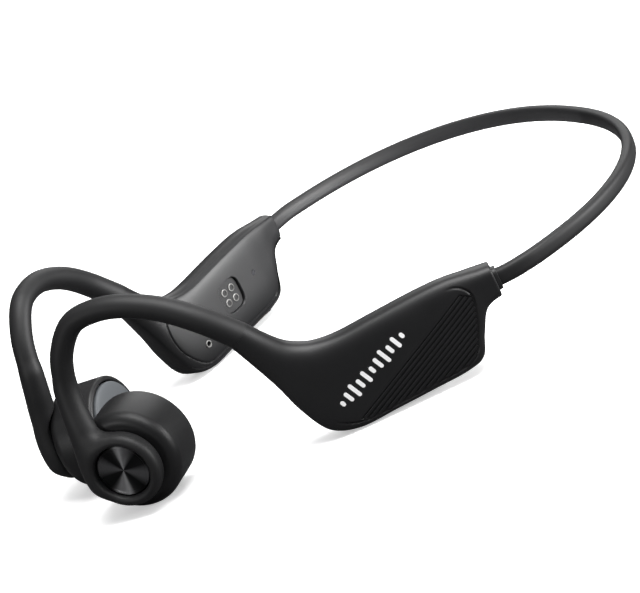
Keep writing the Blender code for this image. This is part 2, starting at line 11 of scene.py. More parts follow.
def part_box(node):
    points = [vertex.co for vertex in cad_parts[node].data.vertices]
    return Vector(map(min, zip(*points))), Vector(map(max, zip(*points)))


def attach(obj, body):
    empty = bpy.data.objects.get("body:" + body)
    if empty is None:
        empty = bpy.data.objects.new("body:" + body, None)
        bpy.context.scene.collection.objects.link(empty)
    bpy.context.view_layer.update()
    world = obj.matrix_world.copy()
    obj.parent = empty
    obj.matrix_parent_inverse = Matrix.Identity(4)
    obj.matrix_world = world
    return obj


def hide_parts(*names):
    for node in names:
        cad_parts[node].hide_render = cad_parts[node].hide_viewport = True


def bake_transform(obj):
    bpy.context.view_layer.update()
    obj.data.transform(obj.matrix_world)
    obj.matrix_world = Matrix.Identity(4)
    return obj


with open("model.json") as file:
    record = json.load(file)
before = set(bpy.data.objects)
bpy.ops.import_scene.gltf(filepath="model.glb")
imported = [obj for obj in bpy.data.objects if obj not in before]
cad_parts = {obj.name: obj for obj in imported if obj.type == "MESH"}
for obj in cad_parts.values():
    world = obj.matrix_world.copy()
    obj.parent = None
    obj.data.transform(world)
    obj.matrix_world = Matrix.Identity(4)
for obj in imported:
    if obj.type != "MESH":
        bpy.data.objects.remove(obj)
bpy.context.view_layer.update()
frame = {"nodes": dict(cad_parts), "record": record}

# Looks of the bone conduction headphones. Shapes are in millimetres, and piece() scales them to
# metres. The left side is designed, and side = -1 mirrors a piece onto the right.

MM = 0.001
UP = np.array((0.0, 0.0, 1.0))
MIRROR = np.array((-1.0, 1.0, 1.0))
SIDES = (("left", 1), ("right", -1))


def mount(name):
    """Position in millimetres and outward normal of one of the part's mounts."""
    found = next(m for m in frame["record"]["mounts"] if m["name"] == name)
    return np.array(found["pos_m"]) / MM, np.array(found["axis"])


# ------------------------------------------------------------------ places, from the frame

# Pod coordinates (e, z, q): e toward the back, z up, q outward from the skin-side rim
PAD_PROUD = 0.9                # the pad's face stands this far out of the rim
PAD_POINT, PAD_NORMAL = mount("skin_contact_left")
POD_AXES = np.array((np.cross(UP, -PAD_NORMAL), UP, -PAD_NORMAL))
POD_RIM = PAD_POINT - PAD_NORMAL * PAD_PROUD

# Plate coordinates (a, w, z): a along the housing, w outward from its middle plane, z up
PORT_A, PORT_Z, PORT_FLOOR = 24.4, 11.3, -3.2
PORT_POINT, PORT_NORMAL = (v * MIRROR for v in mount("charge_port_face"))
PLATE_AXES = np.array((np.cross(UP, -PORT_NORMAL), -PORT_NORMAL, UP))
PLATE_ORIGIN = PORT_POINT - np.array((PORT_A, PORT_FLOOR, PORT_Z)) @ PLATE_AXES


def pod_point(points):
    """Frame millimetres of points (e, z, q) in pod coordinates."""
    return POD_RIM + np.asarray(points, float) @ POD_AXES


def plate_point(points):
    """Frame millimetres of points (a, w, z) in plate coordinates."""
    return PLATE_ORIGIN + np.asarray(points, float) @ PLATE_AXES


# ------------------------------------------------------------------ mesh helpers

def piece(name, points, faces, mat, side=1, sharp=35.0):
    """One mesh object from millimetre points, with its faces turned outward."""
    points = np.asarray(points, float).reshape(-1, 3) * MM
    if side < 0:
        points = points * MIRROR
    mesh = bpy.data.meshes.new(name)
    mesh.from_pydata(points.tolist(), [], faces)
    work = bmesh.new()
    work.from_mesh(mesh)
    bmesh.ops.recalc_face_normals(work, faces=work.faces)
    work.to_mesh(mesh)
    work.free()
    mesh.shade_smooth()
    mesh.set_sharp_from_angle(angle=math.radians(sharp))
    mesh.materials.append(mat)
    obj = bpy.data.objects.new(name, mesh)
    bpy.context.scene.collection.objects.link(obj)
    return obj


def loft_faces(rings, count, closed=False):
    """Quads between rings of equal count, with end caps unless the chain of rings is closed."""
    grid = np.arange(rings * count).reshape(rings, count)
    near, far = grid[:-1], grid[1:]
    if closed:
        near, far = grid, np.roll(grid, -1, axis=0)
    quads = np.stack((near, np.roll(near, -1, 1), np.roll(far, -1, 1), far), -1)
    faces = quads.reshape(-1, 4).tolist()
    if not closed:
        faces += [grid[0, ::-1].tolist(), grid[-1].tolist()]
    return faces


def loft(name, rings, mat, side=1, closed=False, sharp=35.0):
    """One mesh object skinned over rings of equal count."""
    rings = np.asarray(rings, float)
    return piece(name, rings, loft_faces(len(rings), rings.shape[1], closed), mat, side, sharp)


def turned_rings(profile, segments):
    """Rings (e, z, q) of a (radius, q) profile about the pod's axis."""
    angles = np.arange(segments) * 2 * math.pi / segments
    return [[(max(r, 0.01) * math.cos(a), max(r, 0.01) * math.sin(a), q) for a in angles]
            for r, q in profile]


def arc(centre, radius, start, end, steps=8):
    """Profile points of an arc, angles in degrees."""
    angles = np.radians(np.linspace(start, end, steps + 1))
    return [(centre[0] + radius * math.cos(t), centre[1] + radius * math.sin(t)) for t in angles]


def superellipse(half_a, half_b, power, count):
    """Outline between an ellipse (power 2) and a rectangle (high power)."""
    angles = np.arange(count) * 2 * math.pi / count
    c, s = np.cos(angles), np.sin(angles)
    return np.stack((half_a * np.sign(c) * np.abs(c) ** (2 / power),
                     half_b * np.sign(s) * np.abs(s) ** (2 / power)), -1)


def spline(points, steps):
    """Smooth curve through rows of numbers, with steps spans between each pair of rows."""
    rows = np.asarray(points, float)
    rows = np.vstack((rows[:1], rows, rows[-1:]))
    t = (np.arange(steps) / steps)[:, None]
    curve = []
    for p0, p1, p2, p3 in zip(rows, rows[1:], rows[2:], rows[3:]):
        curve.append(0.5 * (2 * p1 + (p2 - p0) * t + (2 * p0 - 5 * p1 + 4 * p2 - p3) * t ** 2
                            + (3 * p1 - p0 - 3 * p2 + p3) * t ** 3))
    return np.vstack(curve + [rows[-1:]])


def smoothstep(low, high, value):
    t = np.clip((value - low) / (high - low), 0.0, 1.0)
    return t * t * (3 - 2 * t)


def along_of(line):
    """Share of a line's length (0..1) at each of its points."""
    lengths = np.concatenate(((0.0,), np.cumsum(np.linalg.norm(np.diff(line, axis=0), axis=1))))
    return lengths / lengths[-1]


def line_distance(points, line):
    """Distance from 2-D points to an open line, and how far along it (0..1) they lie."""
    best = np.full(len(points), 1e9)
    along = np.zeros(len(points))
    lengths = np.linalg.norm(np.diff(line, axis=0), axis=1)
    starts = np.concatenate(((0.0,), np.cumsum(lengths)))
    for i, (a, b) in enumerate(zip(line, line[1:])):
        t = np.clip((points - a) @ (b - a) / (lengths[i] ** 2), 0.0, 1.0)
        distance = np.linalg.norm(points - a - t[:, None] * (b - a), axis=1)
        closer = distance < best
        best[closer] = distance[closer]
        along[closer] = (starts[i] + t[closer] * lengths[i]) / starts[-1]
    return best, along


def inside_outline(points, outline):
    """True for the 2-D points inside a closed outline."""
    x, y = points[:, 0], points[:, 1]
    inside = np.zeros(len(points), bool)
    for (ax, ay), (bx, by) in zip(outline, np.roll(outline, -1, axis=0)):
        crosses = (ay > y) != (by > y)
        with np.errstate(divide="ignore", invalid="ignore"):
            inside ^= crosses & (x < (bx - ax) * (y - ay) / (by - ay) + ax)
    return inside


# ------------------------------------------------------------------ materials

TONE_SCALE, TONE_DETAIL = 120.0, 4.0
GRAIN_DETAIL = 2.0
POLISH_SPREAD = 0.05           # roughness varies by this much either way
TURNING_PITCH = 0.12           # spacing of the lathe's rings on spun metal
# Painted reflection on the spun discs: bright and dark wedges painted into the colour about their
# axis
PAINTED_WEDGE_COUNT, PAINTED_WEDGE_PHASE, PAINTED_WEDGE_DARKEST = 4.0, 110.0, 0.12


def add_node(tree, kind, inputs, **settings):
    """A new shader node. inputs maps an input's name or number to a value or to another output."""
    node = tree.nodes.new("ShaderNode" + kind)
    for label, value in settings.items():
        setattr(node, label, value)
    for label, value in inputs.items():
        set_input(tree, node, label, value)
    return node


def set_input(tree, node, label, value):
    """Gives an input a plain value, or links another node's output to it."""
    if isinstance(value, bpy.types.NodeSocket):
        tree.links.new(value, node.inputs[label])
    else:
        node.inputs[label].default_value = value


def opaque(colour):
    return (*colour, 1.0)


def surface(name, colour, roughness, metallic=0.0, grain=(0.3, 0.01), mottle=0.15, **extra):
    """A material whose colour and roughness vary slightly, with a fine moulded grain.
    grain is (size, depth) in millimetres; extra names more Principled inputs."""
    mat = bpy.data.materials.new(name)
    mat.use_nodes = True
    tree = mat.node_tree
    shader = tree.nodes["Principled BSDF"]
    place = add_node(tree, "TexCoord", {}).outputs["Object"]
    broad = add_node(tree, "TexNoise", {"Scale": TONE_SCALE, "Detail": TONE_DETAIL,
                                        "Vector": place})
    darker = opaque([c * (1 - mottle) for c in colour])
    lighter = opaque([min(1.0, c * (1 + mottle)) for c in colour])
    tone = add_node(tree, "Mix", {"A": darker, "B": lighter, "Factor": broad.outputs["Fac"]},
                    data_type='RGBA', name="tone")
    polish = add_node(tree, "MapRange", {"To Min": roughness - POLISH_SPREAD,
                                         "To Max": roughness + POLISH_SPREAD,
                                         "Value": broad.outputs["Fac"]}, name="polish")
    fine = add_node(tree, "TexNoise", {"Scale": 1.0 / (grain[0] * MM), "Detail": GRAIN_DETAIL,
                                       "Vector": place})
    bump = add_node(tree, "Bump", {"Strength": 1.0, "Distance": grain[1] * MM,
                                   "Height": fine.outputs["Fac"]})
    set_input(tree, shader, "Base Color", tone.outputs["Result"])
    set_input(tree, shader, "Roughness", polish.outputs["Result"])
    set_input(tree, shader, "Normal", bump.outputs["Normal"])
    set_input(tree, shader, "Metallic", metallic)
    for label, value in extra.items():
        label = label.replace("_", " ").title().replace("Ior", "IOR")
        set_input(tree, shader, label, value)
    return mat


def spun_metal(name, colour, roughness):
    """Metal turned on a lathe: the shine spreads across fine rings about the object's Z axis, with
    bright and dark wedges of painted reflection in its colour.
    """
    mat = surface(name, colour, roughness, 1.0, grain=(0.15, 0.001), anisotropic=1.0,
                  anisotropic_rotation=0.25)
    tree = mat.node_tree
    shader = tree.nodes["Principled BSDF"]
    tangent = add_node(tree, "Tangent", {}, direction_type='RADIAL', axis='Z')
    place = add_node(tree, "TexCoord", {})
    flat = add_node(tree, "VectorMath", {0: place.outputs["Object"], 1: (1.0, 1.0, 0.0)},
                    operation='MULTIPLY').outputs["Vector"]
    radius = add_node(tree, "VectorMath", {0: flat}, operation='LENGTH')
    rings = add_node(tree, "TexNoise", {"Scale": 1.0 / (TURNING_PITCH * MM)}, noise_dimensions='1D')
    set_input(tree, rings, "W", radius.outputs["Value"])
    set_input(tree, tree.nodes["polish"], "Value", rings.outputs["Fac"])
    set_input(tree, shader, "Tangent", tangent.outputs["Tangent"])
    # painted reflection: the colour is darkened between bright wedges about the axis
    colour = painted_reflection_wedges(tree, flat, tree.nodes["tone"].outputs["Result"])
    set_input(tree, shader, "Base Color", colour)
    return mat


def painted_reflection_wedges(tree, flat, colour):
    """The colour darkened between wedges about the axis: painted reflection, the bright and dark
    sectors that turned metal shows under lamps.
    """
    split = add_node(tree, "SeparateXYZ", {"Vector": flat})
    angle = add_node(tree, "Math", {0: split.outputs["Y"], 1: split.outputs["X"]},
                     operation='ARCTAN2')
    turns = add_node(tree, "Math", {0: angle.outputs["Value"], 1: PAINTED_WEDGE_COUNT,
                                    2: math.radians(PAINTED_WEDGE_PHASE)}, operation='MULTIPLY_ADD')
    wave = add_node(tree, "Math", {0: turns.outputs["Value"]}, operation='COSINE')
    shade = add_node(tree, "MapRange", {"From Min": -0.5, "From Max": 0.9, "To Min": PAINTED_WEDGE_DARKEST,
                                        "To Max": 1.0, "Value": wave.outputs["Value"]})
    dark = add_node(tree, "VectorMath", {0: colour}, operation='SCALE')
    set_input(tree, dark, "Scale", shade.outputs["Result"])
    return dark.outputs["Vector"]


SOFT_BLACK = surface("soft_touch_silicone", (0.0055, 0.0055, 0.006), 0.56, grain=(0.22, 0.006),
                     specular_ior_level=0.40)
SHELL_BLACK = surface("housing_plastic", (0.005, 0.005, 0.0055), 0.45, grain=(0.16, 0.006),
                      specular_ior_level=0.40)
PAD_GREY = surface("pad_silicone", (0.066, 0.072, 0.078), 0.60, grain=(0.20, 0.008), mottle=0.05)
SPUN = spun_metal("spun_dark_metal", (0.17, 0.17, 0.174), 0.42)
PIN_METAL = surface("contact_metal", (0.20, 0.198, 0.192), 0.46, 1.0, grain=(0.08, 0.002))
MARK_WHITE = surface("printed_white", (0.95, 0.95, 0.95), 0.45, grain=(0.10, 0.002), mottle=0.03)
LIGHT_GUIDE = surface("light_guide", (0.05, 0.05, 0.055), 0.15, grain=(0.5, 0.001), mottle=0.05,
                      transmission_weight=0.5)


# ------------------------------------------------------------------ the housing's form

# Sections from the ear hook to the neckband: top (a, z), bottom (a, z), half thickness, squareness
HOUSING_STATIONS = (
    (-0.6, 29.4, -5.5, 26.4, 2.9, 2.0),
    (2.0, 25.9, -3.2, 21.1, 3.1, 2.1),
    (4.8, 22.8, -0.7, 15.1, 3.4, 2.3),
    (8.2, 20.9, 1.6, 8.4, 3.7, 2.6),
    (11.5, 20.1, 5.1, 2.4, 3.9, 2.9),
    (15.5, 19.9, 11.0, 0.2, 4.0, 3.1),
    (21.5, 20.3, 19.5, 0.6, 4.0, 3.2),
    (28.5, 20.8, 28.0, 1.1, 4.0, 3.2),
    (35.0, 21.1, 35.3, 1.6, 3.9, 3.2),
    (39.0, 21.0, 39.4, 3.0, 3.7, 3.2),
    (42.2, 20.6, 41.6, 7.4, 3.5, 3.1),
    (45.0, 20.2, 44.2, 11.9, 3.2, 3.0),
    (47.8, 19.9, 47.8, 13.1, 2.9, 2.9),
)
FACE_SPAN = 0.90               # share of the height that counts as the flat faces
FACE_POINTS, EDGE_POINTS = 90, 22
RING_SPACING = 0.20
LOWER_SQUARENESS = 3.4         # how many times squarer the lower half is than the upper
# The rear end closes in steps: (share of the half height taken off, push toward the neckband)
END_STEPS = ((0.0375, 0.10), (0.109375, 0.16), (0.28125, 0.16))

# Engraved line round the outer face, and the ribbed corner that it closes (a, z)
GROOVE_LINE = ((37.3, 19.5), (40.3, 18.9), (42.2, 17.1), (42.4, 14.6), (41.6, 11.4), (40.0, 7.4),
               (39.0, 5.2), (37.0, 3.5), (34.0, 2.95), (30.0, 2.65), (25.0, 2.25), (20.0, 1.95),
               (15.0, 1.6), (11.2, 1.9), (8.3, 3.1), (5.9, 5.2))
GROOVE_WIDTH, GROOVE_DEPTH = 0.55, 0.32
RIB_START, RIB_END = np.array((11.6, 2.3)), np.array((40.2, 17.6))
RIB_PITCH, RIB_WIDTH, RIB_DEPTH, RIB_MARGIN, RIB_COUNT = 0.90, 0.54, 0.32, 0.42, 12

# Inner cover's seam: a round front, then it follows the housing's bottom edge
COVER_MARGIN = 1.4
COVER_FRONT = ((6.0, 18.6), (3.9, 17.3), (3.0, 14.7), (3.1, 11.5), (4.2, 8.0), (6.6, 4.6),
               (9.4, 2.3))
COVER_BOTTOM_START, COVER_BOTTOM_END = 12.0, 41.0
SEAM_WIDTH, SEAM_DEPTH = 0.40, 0.30


def section(half, power, reach):
    """One housing section as (u outward, v along the top-bottom line): outer face, bottom edge,
    inner face and top edge. reach is half the section's height, for even spacing."""
    lower = 2.0 + (power - 2.0) * LOWER_SQUARENESS
    faces = np.linspace(FACE_SPAN, -FACE_SPAN, FACE_POINTS)
    powers = np.where(faces > 0, power, lower)
    face_u = half * (1 - np.abs(faces) ** powers) ** (1 / powers)
    bottom, top = edge_points(half, lower, reach), edge_points(half, power, reach)
    return np.concatenate((np.stack((face_u, faces), -1), bottom * (1, -1),
                           np.stack((-face_u, -faces), -1), top * (-1, 1)))


def edge_points(half, power, reach):
    """Evenly spaced points (u, v) over the rounded edge, from the outer face to the inner one."""
    start = math.asin(FACE_SPAN ** (power / 2))
    angles = np.linspace(start, math.pi - start, 80)
    c, s = np.cos(angles), np.sin(angles)
    u = half * np.sign(c) * np.abs(c) ** (2 / power)
    v = s ** (2 / power)
    lengths = np.concatenate(((0.0,), np.cumsum(np.hypot(np.diff(u), np.diff(v) * reach))))
    places = np.linspace(0.0, lengths[-1], EDGE_POINTS + 2)[1:-1]
    return np.stack((np.interp(places, lengths, u), np.interp(places, lengths, v)), -1)


def even_stations():
    """The housing's stations as a smooth curve with evenly spaced middles."""
    rows = spline(HOUSING_STATIONS, 20)
    middles = (rows[:, 0:2] + rows[:, 2:4]) / 2
    lengths = along_of(middles) * np.linalg.norm(np.diff(middles, axis=0), axis=1).sum()
    places = np.linspace(0.0, lengths[-1], int(lengths[-1] / RING_SPACING))
    return np.stack([np.interp(places, lengths, column) for column in rows.T], -1)


def housing_rings():
    """Smooth rings (a, w, z) of the whole housing, without its engraving."""
    rings = []
    for ta, tz, ba, bz, half, power in even_stations():
        middle = np.array(((ta + ba) / 2, (tz + bz) / 2))
        reach = np.array(((ta - ba) / 2, (tz - bz) / 2))
        uv = section(half, power, np.linalg.norm(reach))
        along = middle + uv[:, 1:] * reach
        rings.append(np.stack((along[:, 0], uv[:, 0], along[:, 1]), -1))
    return np.array(rings)


def cover_seam():
    """Line (a, z) of the seam that shows: down round the cover's front and along its bottom."""
    rows = spline(HOUSING_STATIONS, 6)
    tops, bottoms = rows[:, 0:2], rows[:, 2:4]
    across = (tops - bottoms) / np.linalg.norm(tops - bottoms, axis=1)[:, None] * COVER_MARGIN
    along_bottom = (rows[:, 2] >= COVER_BOTTOM_START) & (rows[:, 2] <= COVER_BOTTOM_END)
    bottoms = (bottoms + across)[along_bottom]
    return spline(np.vstack((COVER_FRONT, bottoms[::4])), 6)


def groove(distance, width, depth):
    """Depth of a round-bottomed groove at a distance from its middle line."""
    return depth * (1 - smoothstep(0.35, 1.0, distance / (width / 2)))


def rib_corner():
    """Outline (a, z) of the sunk corner that holds the ribs."""
    line = spline(GROOVE_LINE, 8)
    places = along_of(line)
    return np.vstack((RIB_START, RIB_END, line[(places > 0.12) & (places < 0.84)]))


def outer_engraving(points):
    """Depth to engrave at (a, z) points of the outer face: the border line and the sunk corner."""
    distance, along = line_distance(points, spline(GROOVE_LINE, 8))
    fade = smoothstep(0.0, 0.10, along) * (1 - smoothstep(0.90, 1.0, along))
    depth = groove(distance, GROOVE_WIDTH, GROOVE_DEPTH) * fade
    corner = rib_corner()
    edge, _ = line_distance(points, np.vstack((corner, corner[:1])))
    floor = RIB_DEPTH * smoothstep(0.0, 0.3, edge) * inside_outline(points, corner)
    return np.maximum(depth, floor)


def inner_engraving(points):
    """Depth of the cover's seam: it shows round the front and along the bottom."""
    distance, along = line_distance(points, cover_seam())
    fade = smoothstep(0.0, 0.08, along) * (1 - smoothstep(0.94, 1.0, along))
    return groove(distance, SEAM_WIDTH, SEAM_DEPTH) * fade


SMOOTH_HOUSING = housing_rings()


def engraved_housing():
    """The housing's rings with the outer border and ribbed corner and the inner seam sunk in."""
    rings = SMOOTH_HOUSING.copy()
    outer = rings[:, :FACE_POINTS].reshape(-1, 3)
    inner_face = slice(FACE_POINTS + EDGE_POINTS, 2 * FACE_POINTS + EDGE_POINTS)
    inner = rings[:, inner_face].reshape(-1, 3)
    outer_depth = outer_engraving(outer[:, ::2]).reshape(len(rings), FACE_POINTS)
    inner_depth = inner_engraving(inner[:, ::2]).reshape(len(rings), FACE_POINTS)
    rings[:, :FACE_POINTS, 1] -= outer_depth
    rings[:, inner_face, 1] += inner_depth
    return rings


def end_rings(rings):
    """Rounds the rear edge over toward the collar."""
    last = rings[-1]
    middle = last.mean(axis=0)
    closing = []
    for taper, push in END_STEPS:
        ring = middle + (last - middle) * (1 - taper)
        ring[:, 0] += push
        closing.append(ring)
    return np.concatenate((rings, closing))


def build_housing(name, side):
    rings = end_rings(engraved_housing())
    body = name + "_side"
    shell = loft("housing_" + name, plate_point(rings), SHELL_BLACK, side, sharp=60.0)
    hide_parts("housing_shell_" + name, "inner_cover_" + name)
    if name == "right":
        cut_openings(shell)
    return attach(shell, body)


# ------------------------------------------------------------------ openings of the right housing

PORT_WIDE, PORT_TALL, PORT_SQUARE = 7.0, 7.3, 3.6
PORT_GAP, PORT_RIM = 0.15, 0.05
KEY_PLACES, KEY_LENGTH, KEY_WIDTH, KEY_GAP = (25.0, 33.0), 5.6, 2.2, 0.2
KEY_SLOT_REACH, KEY_SLOT_SQUARE = 3.0, 12.0
MIC_A, MIC_Z, MIC_RADIUS, MIC_FACE = 11.4, 6.0, 0.5, -4.02
LIGHT_A, LIGHT_Z, LIGHT_RADIUS = 33.5, 12.0, 0.68
OPENING_OUTSIDE, HOLE_DEPTH = -9.0, -3.0   # the cutters run from outside the inner face to here


def prism_rings(outline, low, high):
    """Two rings (a, w, z) of an (a, z) outline, at w = low and w = high."""
    return np.array([[(a, w, z) for a, z in outline] for w in (low, high)])


def cut_openings(shell):
    """Cuts the charge port, the microphone hole, the light's hole and the key slots."""
    port = superellipse(PORT_WIDE / 2 + PORT_GAP, PORT_TALL / 2 + PORT_GAP, PORT_SQUARE, 48)
    microphone = superellipse(MIC_RADIUS, MIC_RADIUS, 2.0, 20)
    light = superellipse(LIGHT_RADIUS, LIGHT_RADIUS, 2.0, 24)
    tools = [prism_rings(port + (PORT_A, PORT_Z), OPENING_OUTSIDE, PORT_FLOOR + 0.25),
             prism_rings(microphone + (MIC_A, MIC_Z), OPENING_OUTSIDE, HOLE_DEPTH),
             prism_rings(light + (LIGHT_A, LIGHT_Z), OPENING_OUTSIDE, HOLE_DEPTH)]
    slot = superellipse(KEY_LENGTH / 2 + KEY_GAP, KEY_SLOT_REACH, KEY_SLOT_SQUARE, 40)
    half_width = KEY_WIDTH / 2 + KEY_GAP
    tools += [prism_rings(slot + (place, 0.0), -half_width, half_width) for place in KEY_PLACES]
    points, faces = [], []
    for rings in tools:
        count = sum(len(p) for p in points)
        points.append(plate_point(rings).reshape(-1, 3))
        faces += [[i + count for i in face] for face in loft_faces(2, rings.shape[1])]
    cutter = piece("openings", np.vstack(points), faces, SHELL_BLACK, -1)
    modifier = shell.modifiers.new("openings", 'BOOLEAN')
    modifier.object = cutter
    modifier.solver = 'EXACT'
    apply_modifiers(shell)
    bpy.data.objects.remove(cutter, do_unlink=True)


def apply_modifiers(obj):
    """Keeps the evaluated mesh, so that no modifier is left on the object."""
    graph = bpy.context.evaluated_depsgraph_get()
    mesh = bpy.data.meshes.new_from_object(obj.evaluated_get(graph))
    obj.modifiers.clear()
    obj.data = mesh


def build_charge_port():
    """The recess's floor and the four contacts in it."""
    outline = superellipse(PORT_WIDE / 2 + PORT_RIM, PORT_TALL / 2 + PORT_RIM, PORT_SQUARE, 48)
    profile = ((1.0, -1.2), (1.0, PORT_FLOOR + 0.12), (0.97, PORT_FLOOR), (0.0, PORT_FLOOR))
    rings = []
    for scale, w in profile:
        flat = outline * max(scale, 0.002)
        rings.append([(PORT_A + a, w, PORT_Z + z) for a, z in flat])
    floor = loft("charge_port", plate_point(rings), SHELL_BLACK, -1)
    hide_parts("charge_port_insert")
    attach(floor, "right_side")
    for index in range(1, 5):
        build_contact(index)


def plate_turned(a, z, profile, segments=28):
    """Rings (a, w, z) of a (radius, w) profile about an axis square to the inner face."""
    angles = np.arange(segments) * 2 * math.pi / segments
    return [[(a + max(r, 0.01) * math.cos(t), w, z + max(r, 0.01) * math.sin(t)) for t in angles]
            for r, w in profile]


def build_microphone_ring():
    """A thin metal rim round the microphone's hole."""
    back, crest = MIC_FACE + 0.6, MIC_FACE - 0.06
    profile = [(0.88, back), (0.88, MIC_FACE), (0.80, crest), (0.66, crest), (0.58, MIC_FACE),
               (0.58, back)]
    rim = loft("microphone_rim", plate_point(plate_turned(MIC_A, MIC_Z, profile)), PIN_METAL, -1,
               closed=True)
    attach(rim, "right_side")


def build_contact(index):
    """One round contact: a raised ring with a sunk middle."""
    low, high = (np.array(corner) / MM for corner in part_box("charge_pin_%d" % index))
    centre = ((low + high) / 2) * MIRROR
    a, _, z = (centre - PLATE_ORIGIN) @ PLATE_AXES.T
    ring = [(0.95, 0.60), (0.95, -0.10)] + arc((0.85, -0.12), 0.10, 0, -90, 4) + [(0.72, -0.22)]
    middle = [(0.64, 0.25), (0.44, 0.25), (0.40, 0.12), (0.30, 0.08), (0.0, 0.08)]
    profile = [(radius, PORT_FLOOR + rise) for radius, rise in ring + middle]
    pin = loft("contact_%d" % index, plate_point(plate_turned(a, z, profile)), PIN_METAL, -1)
    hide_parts("charge_pin_%d" % index)
    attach(pin, "right_side")


# ------------------------------------------------------------------ ear hook and boss

# The hook's centre line: over the boss in pod coordinates, then in the frame's millimetres
HOOK_POD_PATH = ((-6.7, -1.5, 13.5), (-6.6, 4.8, 13.2), (-6.2, 10.6, 11.9), (-6.1, 15.2, 10.7))
HOOK_FREE_PATH = ((11.2, -65.2, 31.2), (12.6, -63.3, 37.2), (15.4, -59.8, 42.2),
                  (19.0, -55.9, 43.6), (23.4, -51.0, 42.8), (28.2, -45.2, 39.4),
                  (32.6, -39.9, 34.2))
HOOK_RADIUS, HOOK_ROOT_TAPER, HOOK_FLARE = 2.4, 0.6, 0.47
HOOK_INSIDE = 1.5              # the hook's end reaches this far into the housing
# The hook widens toward the pod's middle as it runs into the boss: pod points and radii
WEB_PATH = ((-6.0, 19.0, 9.6), (-5.5, 15.0, 10.9), (-4.7, 10.2, 12.2), (-3.6, 6.2, 13.0))
WEB_RADII = (1.0, 1.5, 2.0, 2.2)
BOSS_RADIUS, BOSS_BACK, BOSS_CREST, BOSS_ROUNDING = 8.0, 11.8, 15.5, 1.3
BOSS_CORNERS = ((-BOSS_RADIUS, -BOSS_RADIUS, BOSS_CREST), (BOSS_RADIUS, BOSS_RADIUS, BOSS_BACK))
POD_RADIUS, POD_DEPTH = 11.0, 11.5
BUTTON_RADIUS, BUTTON_BACK = 5.6, 13.7
# How softly each join or cut of the hook is rounded
WEB_SOFTNESS, BOSS_SOFTNESS, RECESS_SOFTNESS, SEAT_SOFTNESS = 3.0, 3.6, 0.9, 0.3
NET_STEP, NET_MARGIN = 0.30, 4.0
FIELD_REACH = 3.0
FAR = 40.0                     # beyond every piece


def hook_line():
    """Centre line and radii of the ear hook, ending just inside the housing."""
    top, bottom = (np.array(HOUSING_STATIONS[0][i:i + 2]) for i in (0, 2))
    middle = (top + bottom) / 2
    inward = np.array((top[1] - bottom[1], -(top[0] - bottom[0])))
    inward = inward / np.linalg.norm(inward)
    ends = [(middle[0], 0.0, middle[1])]
    path = spline(np.vstack((pod_point(HOOK_POD_PATH), HOOK_FREE_PATH, plate_point(ends))), 10)
    t = np.linspace(0, 1, len(path))
    root, flare = np.clip((0.12 - t) / 0.12, 0, 1), np.clip((t - 0.55) / 0.45, 0, 1)
    radii = HOOK_RADIUS - HOOK_ROOT_TAPER * root + HOOK_FLARE * flare ** 2
    last = middle + inward * HOOK_INSIDE
    inside = plate_point([(last[0], 0.0, last[1])])
    return np.vstack((path, inside)), np.append(radii, radii[-1] - 0.15)


def grid_points(low, first, last, step):
    """Points of a cubic grid, from grid place first up to last."""
    axes = [l + step * np.arange(i, j) for l, i, j in zip(low, first, last)]
    return np.stack(np.meshgrid(*axes, indexing="ij"), -1)


def tube_field(low, shape, step, path, radii):
    """Signed distance to a tube, right within FIELD_REACH of its skin and flat beyond."""
    field = np.full(shape, FIELD_REACH)
    for a, b, ra, rb in zip(path, path[1:], radii, radii[1:]):
        margin = max(ra, rb) + FIELD_REACH
        first = np.maximum(((np.minimum(a, b) - margin - low) / step).astype(int), 0)
        last = np.minimum(((np.maximum(a, b) + margin - low) / step).astype(int) + 2, shape)
        cells = tuple(slice(i, j) for i, j in zip(first, last))
        grid = grid_points(low, first, last, step)
        t = np.clip((grid - a) @ (b - a) / ((b - a) @ (b - a)), 0.0, 1.0)
        away = np.linalg.norm(grid - a - t[..., None] * (b - a), axis=-1) - (ra + t * (rb - ra))
        field[cells] = np.minimum(field[cells], away)
    return field


def drum(r, q, radius, low, high, rounding):
    """Signed distance to a drum about the pod's axis with rounded edges."""
    dr = r - (radius - rounding)
    dq = np.abs(q - (low + high) / 2) - ((high - low) / 2 - rounding)
    outside = np.hypot(np.maximum(dr, 0), np.maximum(dq, 0))
    return outside + np.minimum(np.maximum(dr, dq), 0) - rounding


def union(a, b, soft):
    """Signed distance to two joined bodies, with the join rounded."""
    h = np.clip(0.5 + 0.5 * (b - a) / soft, 0, 1)
    return b + (a - b) * h - soft * h * (1 - h)


def cut(a, b, soft):
    """Signed distance to the first body less the second, with the edge rounded."""
    return -union(-a, b, soft)


def crossed_edges(field, axis):
    """Grid edges along an axis where the field changes sign: their index, the place of the
    change, and whether the edge starts inside."""
    start, end = [slice(None)] * 3, [slice(None)] * 3
    start[axis], end[axis] = slice(0, -1), slice(1, None)
    a, b = field[tuple(start)], field[tuple(end)]
    crossed = (a < 0) != (b < 0)
    index = np.argwhere(crossed)
    place = index.astype(float)
    place[:, axis] += a[crossed] / (a[crossed] - b[crossed])
    return index, place, a[crossed] < 0


def cells_beside(index, axis, back_one, back_two):
    """Grid cells beside edges along an axis, stepped back along the two other axes."""
    cell = index.copy()
    cell[:, (axis + 1) % 3] -= back_one
    cell[:, (axis + 2) % 3] -= back_two
    return tuple(cell.T)


